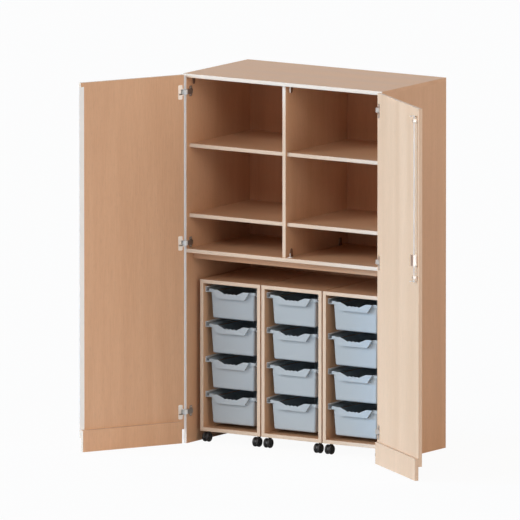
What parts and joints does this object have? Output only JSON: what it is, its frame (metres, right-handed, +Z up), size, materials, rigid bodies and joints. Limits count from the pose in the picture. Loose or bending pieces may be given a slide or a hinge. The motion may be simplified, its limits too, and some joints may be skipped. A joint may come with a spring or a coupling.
{
  "type": "garage cupboard",
  "caption": "Tall wooden cupboard with hinged doors, shelves above and a floor-level bay below that parks tray trolleys on castors.",
  "frame": {"origin": "on the floor, under the middle of the carcass", "axes": "+Z up, +X to the right seen from the front, +Y to the back"},
  "size_m": [1.9526, 1.1568, 1.9],
  "materials": {
    "beech_board": "beech-decor melamine, satin",
    "back_board": "beech-decor hardboard, satin",
    "steel": "nickel-plated",
    "tray_plastic": "moulded, fine satin",
    "runner_plastic": "extruded, satin",
    "castor_plastic": "moulded, satin",
    "wheel_plastic": "moulded, satin"
  },
  "bodies": {
    "cabinet": {"top_panel": "beech_board", "left_side_panel": "beech_board", "right_side_panel": "beech_board", "back_panel": "back_board", "centre_divider": "beech_board", "fixed_shelf": "beech_board", "stiffening_rail": "beech_board", "adjustable_shelves": "beech_board", "shelf_pins": "steel", "hinge_arms": "steel", "lock_strikes": "steel"},
    "left_door": {"left_door": "beech_board", "left_hinge_plates": "steel"},
    "right_door": {"right_door": "beech_board", "right_hinge_plates": "steel", "lock_case": "steel"},
    "lock_rod": {"lock_rod": "steel"},
    "lock_knob": {"lock_knob": "steel"},
    "trolley_1": {"trolley_1_carcass": "beech_board", "trolley_1_runners": "runner_plastic"},
    "tray_1_1": {"tray_1_1": "tray_plastic"},
    "tray_1_2": {"tray_1_2": "tray_plastic"},
    "tray_1_3": {"tray_1_3": "tray_plastic"},
    "tray_1_4": {"tray_1_4": "tray_plastic"},
    "castor_1_front_left": {"castor_1_front_left": "castor_plastic"},
    "wheels_1_front_left": {"wheels_1_front_left": "wheel_plastic"},
    "castor_1_front_right": {"castor_1_front_right": "castor_plastic"},
    "wheels_1_front_right": {"wheels_1_front_right": "wheel_plastic"},
    "castor_1_rear_left": {"castor_1_rear_left": "castor_plastic"},
    "wheels_1_rear_left": {"wheels_1_rear_left": "wheel_plastic"},
    "castor_1_rear_right": {"castor_1_rear_right": "castor_plastic"},
    "wheels_1_rear_right": {"wheels_1_rear_right": "wheel_plastic"},
    "trolley_2": {"trolley_2_carcass": "beech_board", "trolley_2_runners": "runner_plastic"},
    "tray_2_1": {"tray_2_1": "tray_plastic"},
    "tray_2_2": {"tray_2_2": "tray_plastic"},
    "tray_2_3": {"tray_2_3": "tray_plastic"},
    "tray_2_4": {"tray_2_4": "tray_plastic"},
    "castor_2_front_left": {"castor_2_front_left": "castor_plastic"},
    "wheels_2_front_left": {"wheels_2_front_left": "wheel_plastic"},
    "castor_2_front_right": {"castor_2_front_right": "castor_plastic"},
    "wheels_2_front_right": {"wheels_2_front_right": "wheel_plastic"},
    "castor_2_rear_left": {"castor_2_rear_left": "castor_plastic"},
    "wheels_2_rear_left": {"wheels_2_rear_left": "wheel_plastic"},
    "castor_2_rear_right": {"castor_2_rear_right": "castor_plastic"},
    "wheels_2_rear_right": {"wheels_2_rear_right": "wheel_plastic"},
    "trolley_3": {"trolley_3_carcass": "beech_board", "trolley_3_runners": "runner_plastic"},
    "tray_3_1": {"tray_3_1": "tray_plastic"},
    "tray_3_2": {"tray_3_2": "tray_plastic"},
    "tray_3_3": {"tray_3_3": "tray_plastic"},
    "tray_3_4": {"tray_3_4": "tray_plastic"},
    "castor_3_front_left": {"castor_3_front_left": "castor_plastic"},
    "wheels_3_front_left": {"wheels_3_front_left": "wheel_plastic"},
    "castor_3_front_right": {"castor_3_front_right": "castor_plastic"},
    "wheels_3_front_right": {"wheels_3_front_right": "wheel_plastic"},
    "castor_3_rear_left": {"castor_3_rear_left": "castor_plastic"},
    "wheels_3_rear_left": {"wheels_3_rear_left": "wheel_plastic"},
    "castor_3_rear_right": {"castor_3_rear_right": "castor_plastic"},
    "wheels_3_rear_right": {"wheels_3_rear_right": "wheel_plastic"}
  },
  "joints": [
    {"name": "left_door_hinge", "type": "hinge", "parent": "cabinet", "child": "left_door", "pos_m": [-0.5965, -0.3145, 0.95], "axis": [0, 0, -1], "range_deg": [-117.5, 47.5]},
    {"name": "right_door_hinge", "type": "hinge", "parent": "cabinet", "child": "right_door", "pos_m": [0.5965, -0.3145, 0.95], "axis": [0, 0, 1], "range_deg": [-143, 22]},
    {"name": "lock_rod_turn", "type": "hinge", "parent": "right_door", "child": "lock_rod", "pos_m": [1.03418, -0.67749, 1.123], "axis": [0, 0, 1], "range_deg": [0, 72]},
    {"name": "lock_knob_turn", "type": "hinge", "parent": "right_door", "child": "lock_knob", "pos_m": [1.03495, -0.6449, 1.123], "axis": [-0.6018, -0.7986, 0], "range_deg": [0, 90]},
    {"name": "trolley_1_roll", "type": "slide", "parent": "cabinet", "child": "trolley_1", "axis": [0, -1, 0], "range_m": [0, 0.6]},
    {"name": "tray_1_1_slide", "type": "slide", "parent": "trolley_1", "child": "tray_1_1", "axis": [0, -1, 0], "range_m": [0, 0.36]},
    {"name": "tray_1_2_slide", "type": "slide", "parent": "trolley_1", "child": "tray_1_2", "axis": [0, -1, 0], "range_m": [0, 0.36]},
    {"name": "tray_1_3_slide", "type": "slide", "parent": "trolley_1", "child": "tray_1_3", "axis": [0, -1, 0], "range_m": [0, 0.36]},
    {"name": "tray_1_4_slide", "type": "slide", "parent": "trolley_1", "child": "tray_1_4", "axis": [0, -1, 0], "range_m": [0, 0.36]},
    {"name": "castor_1_front_left_swivel", "type": "hinge", "parent": "trolley_1", "child": "castor_1_front_left", "pos_m": [-0.523, -0.178, 0.06], "axis": [0, 0, 1], "continuous": true},
    {"name": "wheels_1_front_left_spin", "type": "hinge", "parent": "castor_1_front_left", "child": "wheels_1_front_left", "pos_m": [-0.523, -0.196, 0.025], "axis": [1, 0, 0], "continuous": true},
    {"name": "castor_1_front_right_swivel", "type": "hinge", "parent": "trolley_1", "child": "castor_1_front_right", "pos_m": [-0.219, -0.178, 0.06], "axis": [0, 0, 1], "continuous": true},
    {"name": "wheels_1_front_right_spin", "type": "hinge", "parent": "castor_1_front_right", "child": "wheels_1_front_right", "pos_m": [-0.219, -0.196, 0.025], "axis": [1, 0, 0], "continuous": true},
    {"name": "castor_1_rear_left_swivel", "type": "hinge", "parent": "trolley_1", "child": "castor_1_rear_left", "pos_m": [-0.523, 0.226, 0.06], "axis": [0, 0, 1], "continuous": true},
    {"name": "wheels_1_rear_left_spin", "type": "hinge", "parent": "castor_1_rear_left", "child": "wheels_1_rear_left", "pos_m": [-0.523, 0.208, 0.025], "axis": [1, 0, 0], "continuous": true},
    {"name": "castor_1_rear_right_swivel", "type": "hinge", "parent": "trolley_1", "child": "castor_1_rear_right", "pos_m": [-0.219, 0.226, 0.06], "axis": [0, 0, 1], "continuous": true},
    {"name": "wheels_1_rear_right_spin", "type": "hinge", "parent": "castor_1_rear_right", "child": "wheels_1_rear_right", "pos_m": [-0.219, 0.208, 0.025], "axis": [1, 0, 0], "continuous": true},
    {"name": "trolley_2_roll", "type": "slide", "parent": "cabinet", "child": "trolley_2", "axis": [0, -1, 0], "range_m": [0, 0.6]},
    {"name": "tray_2_1_slide", "type": "slide", "parent": "trolley_2", "child": "tray_2_1", "axis": [0, -1, 0], "range_m": [0, 0.36]},
    {"name": "tray_2_2_slide", "type": "slide", "parent": "trolley_2", "child": "tray_2_2", "axis": [0, -1, 0], "range_m": [0, 0.36]},
    {"name": "tray_2_3_slide", "type": "slide", "parent": "trolley_2", "child": "tray_2_3", "axis": [0, -1, 0], "range_m": [0, 0.36]},
    {"name": "tray_2_4_slide", "type": "slide", "parent": "trolley_2", "child": "tray_2_4", "axis": [0, -1, 0], "range_m": [0, 0.36]},
    {"name": "castor_2_front_left_swivel", "type": "hinge", "parent": "trolley_2", "child": "castor_2_front_left", "pos_m": [-0.152, -0.178, 0.06], "axis": [0, 0, 1], "continuous": true},
    {"name": "wheels_2_front_left_spin", "type": "hinge", "parent": "castor_2_front_left", "child": "wheels_2_front_left", "pos_m": [-0.152, -0.196, 0.025], "axis": [1, 0, 0], "continuous": true},
    {"name": "castor_2_front_right_swivel", "type": "hinge", "parent": "trolley_2", "child": "castor_2_front_right", "pos_m": [0.152, -0.178, 0.06], "axis": [0, 0, 1], "continuous": true},
    {"name": "wheels_2_front_right_spin", "type": "hinge", "parent": "castor_2_front_right", "child": "wheels_2_front_right", "pos_m": [0.152, -0.196, 0.025], "axis": [1, 0, 0], "continuous": true},
    {"name": "castor_2_rear_left_swivel", "type": "hinge", "parent": "trolley_2", "child": "castor_2_rear_left", "pos_m": [-0.152, 0.226, 0.06], "axis": [0, 0, 1], "continuous": true},
    {"name": "wheels_2_rear_left_spin", "type": "hinge", "parent": "castor_2_rear_left", "child": "wheels_2_rear_left", "pos_m": [-0.152, 0.208, 0.025], "axis": [1, 0, 0], "continuous": true},
    {"name": "castor_2_rear_right_swivel", "type": "hinge", "parent": "trolley_2", "child": "castor_2_rear_right", "pos_m": [0.152, 0.226, 0.06], "axis": [0, 0, 1], "continuous": true},
    {"name": "wheels_2_rear_right_spin", "type": "hinge", "parent": "castor_2_rear_right", "child": "wheels_2_rear_right", "pos_m": [0.152, 0.208, 0.025], "axis": [1, 0, 0], "continuous": true},
    {"name": "trolley_3_roll", "type": "slide", "parent": "cabinet", "child": "trolley_3", "axis": [0, -1, 0], "range_m": [0, 0.6]},
    {"name": "tray_3_1_slide", "type": "slide", "parent": "trolley_3", "child": "tray_3_1", "axis": [0, -1, 0], "range_m": [0, 0.36]},
    {"name": "tray_3_2_slide", "type": "slide", "parent": "trolley_3", "child": "tray_3_2", "axis": [0, -1, 0], "range_m": [0, 0.36]},
    {"name": "tray_3_3_slide", "type": "slide", "parent": "trolley_3", "child": "tray_3_3", "axis": [0, -1, 0], "range_m": [0, 0.36]},
    {"name": "tray_3_4_slide", "type": "slide", "parent": "trolley_3", "child": "tray_3_4", "axis": [0, -1, 0], "range_m": [0, 0.36]},
    {"name": "castor_3_front_left_swivel", "type": "hinge", "parent": "trolley_3", "child": "castor_3_front_left", "pos_m": [0.219, -0.178, 0.06], "axis": [0, 0, 1], "continuous": true},
    {"name": "wheels_3_front_left_spin", "type": "hinge", "parent": "castor_3_front_left", "child": "wheels_3_front_left", "pos_m": [0.219, -0.196, 0.025], "axis": [1, 0, 0], "continuous": true},
    {"name": "castor_3_front_right_swivel", "type": "hinge", "parent": "trolley_3", "child": "castor_3_front_right", "pos_m": [0.523, -0.178, 0.06], "axis": [0, 0, 1], "continuous": true},
    {"name": "wheels_3_front_right_spin", "type": "hinge", "parent": "castor_3_front_right", "child": "wheels_3_front_right", "pos_m": [0.523, -0.196, 0.025], "axis": [1, 0, 0], "continuous": true},
    {"name": "castor_3_rear_left_swivel", "type": "hinge", "parent": "trolley_3", "child": "castor_3_rear_left", "pos_m": [0.219, 0.226, 0.06], "axis": [0, 0, 1], "continuous": true},
    {"name": "wheels_3_rear_left_spin", "type": "hinge", "parent": "castor_3_rear_left", "child": "wheels_3_rear_left", "pos_m": [0.219, 0.208, 0.025], "axis": [1, 0, 0], "continuous": true},
    {"name": "castor_3_rear_right_swivel", "type": "hinge", "parent": "trolley_3", "child": "castor_3_rear_right", "pos_m": [0.523, 0.226, 0.06], "axis": [0, 0, 1], "continuous": true},
    {"name": "wheels_3_rear_right_spin", "type": "hinge", "parent": "castor_3_rear_right", "child": "wheels_3_rear_right", "pos_m": [0.523, 0.208, 0.025], "axis": [1, 0, 0], "continuous": true}
  ],
  "couplings": [
    {"joint": "lock_knob_turn", "follows": "lock_rod_turn", "ratio": 1.25}
  ]
}
